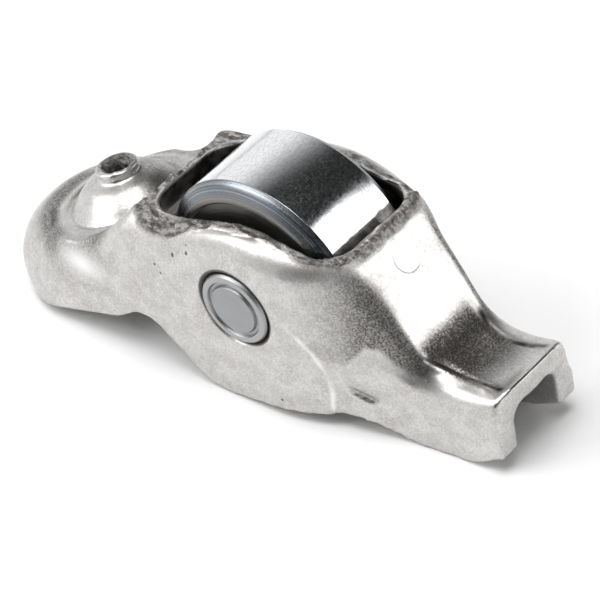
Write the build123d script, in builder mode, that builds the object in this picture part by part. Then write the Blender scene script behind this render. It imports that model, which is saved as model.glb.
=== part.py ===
from build123d import *
import math
import os

os.makedirs("parts", exist_ok=True)

# ---------------------------------------------------------------- driving sizes
# Millimetres. Origin on the roller's axis, +X towards the valve, +Z up.

sheet = 1.9  # thickness of the pressed steel sheet

# roller, axle and needles
roller_radius = 8.65
roller_land_half = 3.3  # half-width of the ground running face
roller_half_width = 4.2  # half-width over the side faces
roller_shoulder = 1.05  # radial depth of the turned shoulder
roller_band = 0.4  # flat ring between the shoulder and the recess
roller_recess_depth = 0.2
raceway_chamfer = 0.3
axle_radius = 3.0
axle_stand_out = 0.08  # each axle end beyond the side wall
axle_chamfer = 0.15
needle_radius = 0.65
needle_half_length = 3.6
needle_play = 0.02  # radial clearance inside and outside the needles
needle_gap = 0.02  # least gap between neighbouring needles
needle_chamfer = 0.15
stake_ring_radius = 2.2  # middle of the ring punched into each axle end
stake_ring_width = 0.36
stake_ring_depth = 0.3
bore_chamfer = 0.4
guide_clearance = 0.15  # between the roller's side and the guide pad round the axle
guide_radius = 5.4

# pressing round the roller and out to the valve
bay_half_width = 7.3
leg_half_width = 4.45
leg_shoulder = 1.35  # from the leg's side to the flat of the web
valve_end = 21.2
web_height = -2.75  # lowest part of the web between roller and valve
web_end_height = -1.9
leg_arch = 1.3  # inner radius between web and leg
rim_left_height = 4.15  # sheared rim at the pivot end of the window
rim_top_height = 6.15  # and where it is highest, beside the roller
rim_right_height = 5.7
rim_shoulder = 2.1  # from the bay's side to the edge of the rim
bay_roof_height = 4.6
side_floor = -14.0  # the sides are formed down to here, then trimmed

# window over the roller
window_left_gap = 1.15  # beyond the roller, at the height of its axis
window_right_gap = -0.15
window_side_gap = 0.5
window_corner = 2.6

# pivot end: a cup whose axis leans back from the roller
pivot_x = -16.7
pivot_lean = 13.0
pivot_half_width = 7.2
shelf_height = -1.05  # web round the dome, where the pivot's axis crosses it
nose_reach = 10.7
nose_corner_share = 0.97  # plan radius of the nose against the half-width
nose_roll = 4.6  # the shelf rolls over into the nose and the sides
roll_lap = 0.08  # the shelf's sides stand this far over the nose's roll where they meet
dome_height = 2.85
dome_foot_radius = 4.5
dome_lip_radius = 1.75
dome_lip_height = 0.35
ball_radius = 3.9
dome_roof = 1.5
oil_hole_radius = 0.8
oil_cone_radius = 1.25
oil_cone_depth = 0.7

# lowest points the arm rests on
floor_height = -8.9
belly_height = -8.75

# ---------------------------------------------------------------- outer form
nose_corner = nose_corner_share * pivot_half_width
window_left = -roller_radius - window_left_gap
window_right = roller_radius + window_right_gap
window_half_width = roller_half_width + window_side_gap
cup_right = window_left - pivot_x - 0.2 * sheet  # end of the cup's hollow, from the pivot's axis
block_reach = 1.8 * cup_right
bay_left = pivot_x + 0.4 * (window_left - pivot_x)
lean_sin, lean_cos = math.sin(math.radians(pivot_lean)), math.cos(math.radians(pivot_lean))
pivot_point = (pivot_x, 0, shelf_height)
shelf_plane = Plane(origin=pivot_point, x_dir=(lean_cos, 0, lean_sin), z_dir=(-lean_sin, 0, lean_cos))
pivot_section = Plane(origin=pivot_point, x_dir=(lean_cos, 0, lean_sin), z_dir=(0, -1, 0))


def part_way(low, high, share):
    """Value the given share of the way from low to high."""
    return low + share * (high - low)


def shelf(x):
    """Height of the web round the dome at x."""
    return shelf_height + (x - pivot_x) * lean_sin / lean_cos


def shelf_station(share, drop, flat):
    """Station across the shelf, stood a little over the nose's roll to meet it cleanly."""
    x = pivot_x + share * nose_corner
    return (
        x,
        pivot_half_width,
        shelf(x) - drop * nose_roll + roll_lap,
        pivot_half_width - flat * nose_roll + 2 * roll_lap,
        shelf(x) + 0.3 * roll_lap,
        shelf(x) + 0.8 * roll_lap,
    )


def rise_station(share, width, turn, crown, edge, middle):
    """Station between the shelf and the rim; heights are shares of that climb."""
    x = part_way(pivot_x, window_left, share)
    half = part_way(pivot_half_width, bay_half_width, width)
    heights = [part_way(shelf_height, rim_left_height, climb) for climb in (turn, edge, middle)]
    return (x, half, heights[0], crown * half, heights[1], heights[2])


def bay_station(share, width, turn, shoulder, edge, top):
    """Station along the window; heights are shares of the rim's height at its top."""
    x = part_way(window_left, window_right, share)
    half = width * bay_half_width
    edge_z = edge * rim_top_height
    return (x, half, turn * rim_top_height, half - shoulder * rim_shoulder, edge_z, top * rim_top_height)


def valve_station(share, width, turn, crown, edge, middle):
    """Station out to the valve; heights are shares of the drop from rim to web."""
    x = part_way(window_right, valve_end, share)
    half = part_way(leg_half_width, bay_half_width, width)
    heights = [part_way(web_height, rim_top_height, climb) for climb in (turn, edge, middle)]
    return (x, half, heights[0], half - crown * leg_shoulder, heights[1], heights[2])


# Stations along the arm: x, half-width, height where the side starts to turn
# in, half-width of the crown, height of the crown's edge and of its middle.
SHELF_STATIONS = (
    shelf_station(-0.52, 1.0, 1.0),
    shelf_station(-0.31, 0.88, 0.55),
    shelf_station(-0.10, 0.76, 0.28),
)
RISE_STATIONS = (
    SHELF_STATIONS[-1],
    rise_station(0.10, 0.0, -0.64, 0.82, 0.06, 0.04),
    rise_station(0.32, 0.0, -0.42, 0.81, 0.21, 0.09),
    rise_station(0.54, 0.0, -0.18, 0.80, 0.46, 0.20),
    rise_station(0.74, 0.2, -0.02, 0.76, 0.76, 0.52),
    rise_station(0.88, 0.4, 0.08, 0.64, 0.97, 0.90),
)
BAY_STATIONS = (
    RISE_STATIONS[-1],
    bay_station(0.03, 0.995, 0.01, 1.65, 0.73, 0.74),
    bay_station(0.18, 1.0, 0.12, 1.36, 0.76, 0.77),
    bay_station(0.32, 1.0, 0.22, 1.12, 0.88, 0.90),
    bay_station(0.48, 1.0, 0.33, 0.98, 1.01, 1.03),
    bay_station(0.645, 1.0, 0.38, 0.96, 1.03, 1.05),
    bay_station(0.78, 0.975, 0.32, 0.98, 0.98, 1.0),
    bay_station(0.89, 0.90, 0.22, 0.98, 0.985, 1.0),
    bay_station(0.995, 0.79, 0.10, 0.88, 1.03, 1.045),
)
VALVE_STATIONS = (
    BAY_STATIONS[-1],
    valve_station(0.087, 0.34, 0.28, 1.38, 0.89, 0.90),
    valve_station(0.197, 0.16, 0.20, 1.16, 0.665, 0.675),
    valve_station(0.315, 0.02, 0.12, 1.0, 0.43, 0.42),
    valve_station(0.42, -0.05, 0.0, 0.96, 0.20, 0.175),
    valve_station(0.48, -0.04, -0.08, 0.97, 0.11, 0.075),
    valve_station(0.56, -0.02, -0.14, 0.98, 0.045, 0.0),
    valve_station(0.68, 0.0, -0.17, 1.0, 0.015, -0.04),
    valve_station(0.84, 0.0, -0.14, 1.0, 0.035, -0.01),
    valve_station(1.0, 0.0, -0.07, 1.0, 0.095, 0.075),
)
LEG_STATIONS = (
    valve_station(-0.10, 0.60, -0.25, 1.5, -0.10, -0.08),
    valve_station(0.0, 0.53, -0.06, 1.3, 0.06, 0.08),
    valve_station(0.087, 0.47, 0.05, 1.2, 0.16, 0.18),
    valve_station(0.197, 0.33, 0.07, 1.1, 0.18, 0.20),
    valve_station(0.315, 0.20, -0.02, 0.9, 0.09, 0.11),
    valve_station(0.433, 0.12, -0.09, 0.8, 0.01, 0.03),
    valve_station(0.55, 0.06, -0.16, 0.8, -0.06, -0.04),
    valve_station(0.68, -0.02, -0.22, 0.8, -0.12, -0.10),
)
TURN = 0.56  # fullness of the shoulder between side and crown


def station_loft(stations):
    """Lofts one stretch of the outer form through closed sections."""
    with BuildPart() as form:
        for x, half, turn_z, crown, edge_z, middle_z in stations:
            rise = TURN * (edge_z - turn_z)
            shoulder = crown + TURN * (half - crown)
            with BuildSketch(Plane.YZ.offset(x)):
                with BuildLine():
                    Line((-half, side_floor), (half, side_floor))
                    Line((half, side_floor), (half, turn_z))
                    Bezier((half, turn_z), (half, turn_z + rise), (shoulder, edge_z), (crown, edge_z))
                    Bezier((crown, edge_z), (0, 2 * middle_z - edge_z), (-crown, edge_z))
                    Bezier((-crown, edge_z), (-shoulder, edge_z), (-half, turn_z + rise), (-half, turn_z))
                    Line((-half, turn_z), (-half, side_floor))
                make_face()
        loft()
    return form.part


def cup_block(inset, right, top, top_radius):
    """Block with the rounded plan of the pivot end, its top edge rolled over."""
    with BuildPart() as block:
        with BuildSketch(shelf_plane.offset(top)):
            with Locations(((right - nose_reach + inset) / 2, 0)):
                Rectangle(right + nose_reach - inset, 2 * (pivot_half_width - inset))
            fillet(vertices().group_by(Axis.X)[0], nose_corner - inset)
        extrude(amount=-18)
        if top_radius:
            rolled = [
                edge
                for edge in block.edges()
                if abs(shelf_plane.to_local_coords(edge.center()).Z - top) < 0.01
                and shelf_plane.to_local_coords(edge.center()).X < right - 0.01
            ]
            fillet(rolled, top_radius)
    return block.part


def hollow_station(station):
    """The same station one sheet further in, its upper corners rounded to an arch."""
    x, half, turn_z, crown, edge_z, middle_z = station
    inside, top = half - sheet, edge_z - sheet
    return (x, inside, top - leg_arch, inside - leg_arch, top, middle_z - sheet)


inner_half = bay_half_width - sheet
roller_side = roller_half_width - roller_recess_depth
guide_face = roller_side + guide_clearance

with BuildPart() as nose:
    add(cup_block(0, block_reach, 0, nose_roll))
    split(bisect_by=Plane.YZ.offset(SHELF_STATIONS[0][0] + roll_lap), keep=Keep.BOTTOM)

with BuildPart() as pivot_end:
    add(station_loft(SHELF_STATIONS))
    add(cup_block(0, block_reach, nose_roll, 0), mode=Mode.INTERSECT)
    add(nose.part)

# underside of the web from the cup to the valve, seen from the side
with BuildPart() as roof_block:
    with BuildSketch(Plane.XZ):
        with BuildLine():
            roof = FilletPolyline(
                (bay_left, shelf_height - 0.8 * sheet),
                (part_way(pivot_x, window_left, 0.6), shelf_height - 0.3 * sheet),
                (window_left, rim_left_height - sheet),
                (part_way(window_left, window_right, 0.18), bay_roof_height - 0.9 * sheet),
                (part_way(window_left, window_right, 0.62), bay_roof_height),
                (part_way(window_left, window_right, 0.93), bay_roof_height),
                (part_way(window_right, valve_end, 0.435), web_height - 0.87 * sheet),
                (part_way(window_right, valve_end, 0.72), web_height - 0.87 * sheet),
                (valve_end + sheet, web_end_height - 0.6 * sheet),
                radius=(0.8 * sheet, sheet, sheet, 3 * sheet, 0.5 * sheet, sheet, 3 * sheet),
            )
            Polyline(roof @ 1, (valve_end + sheet, 2 * side_floor), (bay_left, 2 * side_floor), roof @ 0)
        make_face()
    extrude(amount=2 * bay_half_width, both=True)

with BuildPart() as bay_hollow:
    with BuildSketch(Plane.XY):
        with BuildLine():
            FilletPolyline(
                (bay_left, 0),
                (bay_left, inner_half),
                (0.58 * window_right, inner_half),
                (0.94 * window_right, 0.6 * bay_half_width),
                (1.25 * window_right, 0.46 * bay_half_width),
                (1.25 * window_right, 0),
                radius=(0.3 * sheet, 2 * sheet, 2 * sheet, 0.3 * sheet),
            )
            Line((1.25 * window_right, 0), (bay_left, 0))
        make_face()
        mirror(about=Plane.XZ)
    extrude(amount=-2 * side_floor, both=True)
    add(roof_block.part, mode=Mode.INTERSECT)

with BuildPart() as leg_hollow:
    add(station_loft([hollow_station(station) for station in VALVE_STATIONS]))
    extrude(leg_hollow.faces().sort_by(Axis.X)[-1], amount=sheet)
    add(roof_block.part, mode=Mode.INTERSECT)

with BuildPart() as arm_body:
    add(pivot_end.part)
    add(station_loft(RISE_STATIONS))
    add(station_loft(BAY_STATIONS))
    add(station_loft(VALVE_STATIONS))
    add(station_loft(LEG_STATIONS))

    # hollow underneath: the cup at the pivot, the bay and the valve channel
    add(cup_block(sheet, cup_right, -sheet, nose_roll - sheet), mode=Mode.SUBTRACT)
    add(bay_hollow.part, mode=Mode.SUBTRACT)
    add(leg_hollow.part, mode=Mode.SUBTRACT)

    # pads round the axle that keep the roller in the middle
    with BuildSketch(Plane.XZ.offset(guide_face)):
        Circle(guide_radius)
    extrude(amount=inner_half - guide_face + 0.2 * sheet)
    with BuildSketch(Plane.XZ.offset(-guide_face)):
        Circle(guide_radius)
    extrude(amount=-(inner_half - guide_face + 0.2 * sheet))

    # dome over the pivot
    with BuildSketch(pivot_section):
        with BuildLine():
            neck = (dome_lip_radius - 0.3 * dome_lip_height, dome_height - 1.6 * dome_lip_height)
            foot = (dome_foot_radius, 0)
            Polyline(foot, (dome_foot_radius, -sheet / 2), (0, -sheet / 2), (0, dome_height))
            Polyline(
                (0, dome_height),
                (dome_lip_radius - 0.5 * dome_lip_height, dome_height),
                (dome_lip_radius, dome_height - 0.5 * dome_lip_height),
                neck,
            )
            Spline(
                neck,
                (part_way(dome_lip_radius, dome_foot_radius, 0.45), 0.5 * dome_height),
                foot,
                tangents=((0.45, -1), (1, -0.75)),
            )
        make_face()
    revolve(axis=Axis(pivot_point, shelf_plane.z_dir))
    with BuildSketch(pivot_section):
        with BuildLine():
            ball_middle = dome_height - oil_cone_depth - dome_roof - ball_radius
            Line((0, ball_middle - 2), (0, ball_middle + ball_radius))
            RadiusArc((0, ball_middle + ball_radius), (ball_radius, ball_middle), ball_radius)
            Polyline((ball_radius, ball_middle), (ball_radius, ball_middle - 2), (0, ball_middle - 2))
        make_face()
    revolve(axis=Axis(pivot_point, shelf_plane.z_dir), mode=Mode.SUBTRACT)
    with BuildSketch(pivot_section):
        with BuildLine():
            Polyline(
                (0, -3),
                (oil_hole_radius, -3),
                (oil_hole_radius, dome_height - oil_cone_depth),
                (oil_cone_radius, dome_height),
                (oil_cone_radius, dome_height + 1),
                (0, dome_height + 1),
                (0, -3),
            )
        make_face()
    revolve(axis=Axis(pivot_point, shelf_plane.z_dir), mode=Mode.SUBTRACT)

    # window over the roller
    with BuildSketch(Plane.XY.offset(-axle_radius)):
        with Locations(((window_left + window_right) / 2, 0)):
            RectangleRounded(window_right - window_left, 2 * window_half_width, window_corner)
    extrude(amount=-side_floor, mode=Mode.SUBTRACT)

    # sheared rim of the window
    with BuildSketch(Plane.XZ):
        with BuildLine():
            rim = Spline(
                (part_way(pivot_x, window_left, 0.75), rim_left_height - 0.1 * sheet),
                (part_way(window_left, window_right, 0.10), rim_left_height),
                (part_way(window_left, window_right, 0.21), 1.07 * rim_left_height),
                (part_way(window_left, window_right, 0.37), part_way(rim_left_height, rim_top_height, 0.6)),
                (part_way(window_left, window_right, 0.62), rim_top_height),
                (part_way(window_left, window_right, 0.85), rim_right_height),
                (part_way(window_right, valve_end, 0.06), rim_top_height),
            )
            above = 2 * rim_top_height
            Polyline(rim @ 1, ((rim @ 1).X, above), ((rim @ 0).X, above), rim @ 0)
        make_face()
    extrude(amount=2 * bay_half_width, both=True, mode=Mode.SUBTRACT)

    # lower edge of the skirt
    with BuildSketch(Plane.XZ):
        with BuildLine():
            skirt = FilletPolyline(
                (pivot_x - 2 * nose_reach, 0.35 * floor_height),
                (pivot_x - 0.8 * nose_reach, 0.88 * floor_height),
                (pivot_x - 0.55 * nose_reach, floor_height),
                (pivot_x + 0.4 * nose_reach, 0.68 * floor_height),
                (1.1 * -roller_radius, 0.44 * floor_height),
                (0.45 * -roller_radius, belly_height),
                (0.12 * -roller_radius, belly_height),
                (part_way(window_right, valve_end, 0.1), 0.84 * floor_height),
                (part_way(window_right, valve_end, 0.41), floor_height),
                (part_way(window_right, valve_end, 0.75), floor_height),
                (part_way(window_right, valve_end, 1.22), 0.66 * floor_height),
                radius=[share * nose_reach for share in (0.3, 0.3, 0.5, 0.23, 0.3, 0.85, 0.4, 0.5, 0.5)],
            )
            Polyline(skirt @ 1, ((skirt @ 1).X, 2 * side_floor), ((skirt @ 0).X, 2 * side_floor), skirt @ 0)
        make_face()
    extrude(amount=2 * bay_half_width, both=True, mode=Mode.SUBTRACT)

    # axle bore, chamfered outside
    with BuildSketch(Plane.XZ):
        Circle(axle_radius)
    extrude(amount=2 * bay_half_width, both=True, mode=Mode.SUBTRACT)
    with BuildSketch(Plane.XY):
        with BuildLine():
            Polyline(
                (0, bay_half_width - bore_chamfer),
                (axle_radius, bay_half_width - bore_chamfer),
                (axle_radius + 2 * bore_chamfer, bay_half_width + bore_chamfer),
                (0, bay_half_width + bore_chamfer),
                (0, bay_half_width - bore_chamfer),
            )
        make_face()
        mirror(about=Plane.XZ)
    revolve(axis=Axis.Y, mode=Mode.SUBTRACT)

arm_body.part.label = "arm_body"
export_step(arm_body.part, "parts/arm_body.step")

# ---------------------------------------------------------------- axle
axle_half_length = bay_half_width + axle_stand_out
with BuildPart() as axle:
    with BuildSketch(Plane.XZ):
        Circle(axle_radius)
    extrude(amount=axle_half_length, both=True)
    chamfer(axle.edges().filter_by(GeomType.CIRCLE), axle_chamfer)
    for side in (-1, 1):
        with BuildSketch(Plane.XZ.offset(side * axle_half_length)):
            Circle(stake_ring_radius + stake_ring_width / 2)
            Circle(stake_ring_radius - stake_ring_width / 2, mode=Mode.SUBTRACT)
        extrude(amount=-side * stake_ring_depth, mode=Mode.SUBTRACT)
axle.part.label = "axle"
export_step(axle.part, "parts/axle.step")

# ---------------------------------------------------------------- roller
raceway_radius = axle_radius + 2 * (needle_radius + needle_play)
side_edge = roller_radius - roller_shoulder
recess_radius = side_edge - roller_band
with BuildPart() as roller:
    with BuildSketch(Plane.XY):
        with BuildLine():
            Polyline(
                (raceway_radius, 0),
                (raceway_radius, roller_side - raceway_chamfer),
                (raceway_radius + raceway_chamfer, roller_side),
                (recess_radius - roller_recess_depth, roller_side),
                (recess_radius, roller_half_width),
                (side_edge, roller_half_width),
            )
            Polyline(
                (side_edge, roller_half_width),
                (side_edge + 0.62 * roller_shoulder, part_way(roller_land_half, roller_half_width, 0.67)),
                (roller_radius, roller_land_half),
            )
            Polyline((roller_radius, roller_land_half), (roller_radius, 0), (raceway_radius, 0))
        make_face()
        mirror(about=Plane.XZ)
    revolve(axis=Axis.Y)
roller.part.label = "roller"
export_step(roller.part, "parts/roller.step")

# ---------------------------------------------------------------- needles
needle_pitch = axle_radius + needle_play + needle_radius
needle_count = math.floor(math.pi / math.asin((needle_radius + needle_gap / 2) / needle_pitch))
for i in range(needle_count):
    with BuildPart() as needle:
        with BuildSketch(Plane.XZ):
            with PolarLocations(needle_pitch, 1, start_angle=i * 360 / needle_count):
                Circle(needle_radius)
        extrude(amount=needle_half_length, both=True)
        chamfer(needle.edges().filter_by(GeomType.CIRCLE), needle_chamfer)
    needle.part.label = f"needle_{i + 1:02d}"
    export_step(needle.part, f"parts/{needle.part.label}.step")
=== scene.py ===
"""Dressed model of a roller finger follower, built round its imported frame.

All lengths here are millimetres unless a name says otherwise. The frame and
Blender use metres, so meshes are made in millimetres and brought down by MM.
"""

from __future__ import annotations

import logging
import math
from dataclasses import dataclass, field
from enum import Enum
from typing import Any, Sequence

import bmesh
import bpy
import numpy as np
from mathutils import Matrix, Quaternion, Vector

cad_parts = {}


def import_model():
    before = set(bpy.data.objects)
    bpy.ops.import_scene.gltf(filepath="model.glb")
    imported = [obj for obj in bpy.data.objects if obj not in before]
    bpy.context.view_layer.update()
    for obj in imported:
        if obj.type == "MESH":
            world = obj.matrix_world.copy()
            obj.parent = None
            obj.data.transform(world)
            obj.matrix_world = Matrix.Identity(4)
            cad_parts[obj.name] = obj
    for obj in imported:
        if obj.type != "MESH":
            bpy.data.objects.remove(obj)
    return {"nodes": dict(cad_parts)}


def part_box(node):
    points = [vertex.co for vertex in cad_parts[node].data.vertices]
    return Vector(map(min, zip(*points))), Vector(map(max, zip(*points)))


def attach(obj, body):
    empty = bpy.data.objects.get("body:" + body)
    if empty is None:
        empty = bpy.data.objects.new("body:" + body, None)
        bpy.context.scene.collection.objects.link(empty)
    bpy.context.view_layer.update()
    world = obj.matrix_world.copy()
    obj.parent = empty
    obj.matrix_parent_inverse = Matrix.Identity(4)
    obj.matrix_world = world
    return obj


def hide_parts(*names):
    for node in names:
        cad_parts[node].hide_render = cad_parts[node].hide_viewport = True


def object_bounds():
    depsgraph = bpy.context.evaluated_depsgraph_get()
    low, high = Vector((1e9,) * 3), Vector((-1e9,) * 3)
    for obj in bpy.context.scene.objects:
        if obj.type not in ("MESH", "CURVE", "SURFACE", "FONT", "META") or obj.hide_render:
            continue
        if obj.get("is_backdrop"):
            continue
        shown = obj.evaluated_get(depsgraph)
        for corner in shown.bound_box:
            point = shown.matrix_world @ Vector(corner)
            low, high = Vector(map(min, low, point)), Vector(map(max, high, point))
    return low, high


LOG = logging.getLogger("follower")
MM = 0.001

Colour = tuple[float, float, float, float]
Point = tuple[float, float, float]
Pair = tuple[float, float]


# ------------------------------------------------------------------ node tools


class Wire:
    """A socket whose arithmetic adds the Math nodes it needs."""

    def __init__(self, bench: "Bench", socket: bpy.types.NodeSocket) -> None:
        """Keeps the tree and the output socket it stands for.

        Args:
            bench: The tree that new nodes go into.
            socket: The output that carries the value.
        """
        self.bench = bench
        self.socket = socket

    def _join(self, operation: str, first: Any, second: Any) -> "Wire":
        """Adds one Math node.

        Args:
            operation: Blender's name of the operation.
            first: Wire or number on the first input.
            second: Wire or number on the second input.

        Returns:
            The wire of the result.
        """
        return self.bench.wire("ShaderNodeMath", {"operation": operation}, {0: first, 1: second})

    def __add__(self, other: Any) -> "Wire":
        """Sum."""
        return self._join("ADD", self, other)

    def __radd__(self, other: Any) -> "Wire":
        """Sum with the number in front."""
        return self._join("ADD", other, self)

    def __sub__(self, other: Any) -> "Wire":
        """Difference."""
        return self._join("SUBTRACT", self, other)

    def __rsub__(self, other: Any) -> "Wire":
        """Difference with the number in front."""
        return self._join("SUBTRACT", other, self)

    def __mul__(self, other: Any) -> "Wire":
        """Product."""
        return self._join("MULTIPLY", self, other)

    def __rmul__(self, other: Any) -> "Wire":
        """Product with the number in front."""
        return self._join("MULTIPLY", other, self)

    def __truediv__(self, other: Any) -> "Wire":
        """Quotient."""
        return self._join("DIVIDE", self, other)

    def __rtruediv__(self, other: Any) -> "Wire":
        """Quotient with the number in front."""
        return self._join("DIVIDE", other, self)

    def __pow__(self, other: Any) -> "Wire":
        """Power."""
        return self._join("POWER", self, other)

    def least(self, other: Any) -> "Wire":
        """The smaller of the two."""
        return self._join("MINIMUM", self, other)

    def most(self, other: Any) -> "Wire":
        """The larger of the two."""
        return self._join("MAXIMUM", self, other)

    def size(self) -> "Wire":
        """Value without its sign."""
        return self._join("ABSOLUTE", self, 0.0)

    def root(self) -> "Wire":
        """Square root."""
        return self._join("SQRT", self, 0.0)

    def step(self, low: float, high: float) -> "Wire":
        """Smooth rise from 0 at low to 1 at high.

        Args:
            low: Value that gives 0.
            high: Value that gives 1; below low the step falls instead.

        Returns:
            The wire of the step.
        """
        start, end, out_start, out_end = (low, high, 0.0, 1.0) if low < high else (high, low, 1.0, 0.0)
        inputs = {"Value": self, 1: start, 2: end, 3: out_start, 4: out_end}
        return self.bench.wire("ShaderNodeMapRange", {"interpolation_type": "SMOOTHSTEP"}, inputs)


class Bench:
    """The node tree of one material or of the world."""

    def __init__(self, tree: bpy.types.NodeTree) -> None:
        """Empties the tree.

        Args:
            tree: The tree to build in.
        """
        self.tree = tree
        tree.nodes.clear()

    def node(self, kind: str, settings: dict[str, Any], inputs: dict[Any, Any]) -> bpy.types.Node:
        """Adds a node, sets it up and fills its inputs.

        Args:
            kind: Blender's type name of the node.
            settings: Its properties.
            inputs: Values or wires by socket name or number.

        Returns:
            The new node.
        """
        made = self.tree.nodes.new(kind)
        for key, value in settings.items():
            setattr(made, key, value)
        for key, value in inputs.items():
            if isinstance(value, Wire):
                self.tree.links.new(value.socket, made.inputs[key])
            else:
                made.inputs[key].default_value = value
        return made

    def wire(self, kind: str, settings: dict[str, Any], inputs: dict[Any, Any], out: Any = 0) -> Wire:
        """Adds a node and returns one of its outputs.

        Args:
            kind: Blender's type name of the node.
            settings: Its properties.
            inputs: Values or wires by socket name or number.
            out: Name or number of the wanted output.

        Returns:
            The wire of that output.
        """
        return Wire(self, self.node(kind, settings, inputs).outputs[out])

    def place(self) -> tuple[Wire, Wire, Wire, Wire]:
        """Gives the surface point in millimetres.

        Returns:
            The point as a vector wire and its three coordinates.
        """
        spot = self.wire("ShaderNodeTexCoord", {}, {}, "Object")
        scaled = self.wire("ShaderNodeVectorMath", {"operation": "SCALE"}, {0: spot, "Scale": 1 / MM})
        split = self.node("ShaderNodeSeparateXYZ", {}, {0: scaled})
        x, y, z = (Wire(self, out) for out in split.outputs)
        return scaled, x, y, z

    def stretch(self, point: Wire, factors: Point) -> Wire:
        """Scales a point by a factor for each axis.

        Args:
            point: The vector wire.
            factors: Factor for each axis.

        Returns:
            The new vector wire.
        """
        return self.wire("ShaderNodeVectorMath", {"operation": "MULTIPLY"}, {0: point, 1: factors})

    def noise(self, point: Wire, per_mm: float, detail: float = 3.0, rough: float = 0.55) -> Wire:
        """Cloudy noise between 0 and 1.

        Args:
            point: Where it is read, in millimetres.
            per_mm: Lumps to the millimetre.
            detail: Octaves.
            rough: Strength of the finer octaves.

        Returns:
            The wire of the noise.
        """
        inputs = {"Vector": point, "Scale": per_mm, "Detail": detail, "Roughness": rough}
        return self.wire("ShaderNodeTexNoise", {}, inputs, "Fac")

    def cells(self, point: Wire, per_mm: float) -> bpy.types.Node:
        """Voronoi cells.

        Args:
            point: Where they are read, in millimetres.
            per_mm: Cells to the millimetre.

        Returns:
            The node, for its distance and colour outputs.
        """
        return self.node("ShaderNodeTexVoronoi", {"feature": "F1"}, {"Vector": point, "Scale": per_mm})

    def blend(self, share: Wire, low: Any, high: Any) -> Wire:
        """Mixes two colours.

        Args:
            share: 0 gives low and 1 gives high.
            low: Colour or wire.
            high: Colour or wire.

        Returns:
            The wire of the colour.
        """
        mix = self.node("ShaderNodeMix", {"data_type": "RGBA"}, {0: share, 6: low, 7: high})
        return Wire(self, mix.outputs[2])

    def bump(self, height: Wire, depth: float, normal: Wire | None = None) -> Wire:
        """Turns a height into a normal.

        Args:
            height: Height between 0 and 1.
            depth: What a height of 1 stands for, in millimetres.
            normal: Normal to start from.

        Returns:
            The wire of the normal.
        """
        inputs: dict[Any, Any] = {"Height": height, "Distance": depth * MM, "Strength": 1.0}
        if normal is not None:
            inputs["Normal"] = normal
        return self.wire("ShaderNodeBump", {}, inputs)

    def surface(self, colour: Wire, rough: Any, metal: Any, normal: Wire) -> None:
        """Ends the material with its shader.

        Args:
            colour: Wire of the base colour.
            rough: Roughness or its wire.
            metal: Metallic or its wire.
            normal: Wire of the normal.
        """
        inputs = {"Base Color": colour, "Roughness": rough, "Metallic": metal, "Normal": normal}
        shader = self.wire("ShaderNodeBsdfPrincipled", {}, inputs)
        self.node("ShaderNodeOutputMaterial", {}, {"Surface": shader})


def grey(level: float, warmth: float = 0.0) -> Colour:
    """Gives a grey, warmer above zero warmth and bluer below it.

    Args:
        level: Brightness between 0 and 1.
        warmth: Share moved from blue to red.

    Returns:
        The colour with full alpha.
    """
    return (level * (1 + warmth), level, level * (1 - warmth), 1.0)


# ------------------------------------------------------------------ finishes


class Finish:
    """A finish that can make its own material."""

    name: str = "finish"

    def lay(self, bench: Bench) -> None:
        """Builds the shader; each finish has its own.

        Args:
            bench: The material's empty tree.
        """
        raise NotImplementedError

    def material(self) -> bpy.types.Material:
        """Makes the material.

        Returns:
            The finished material.
        """
        made = bpy.data.materials.new(self.name)
        made.use_nodes = True
        self.lay(Bench(made.node_tree))
        return made


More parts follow.
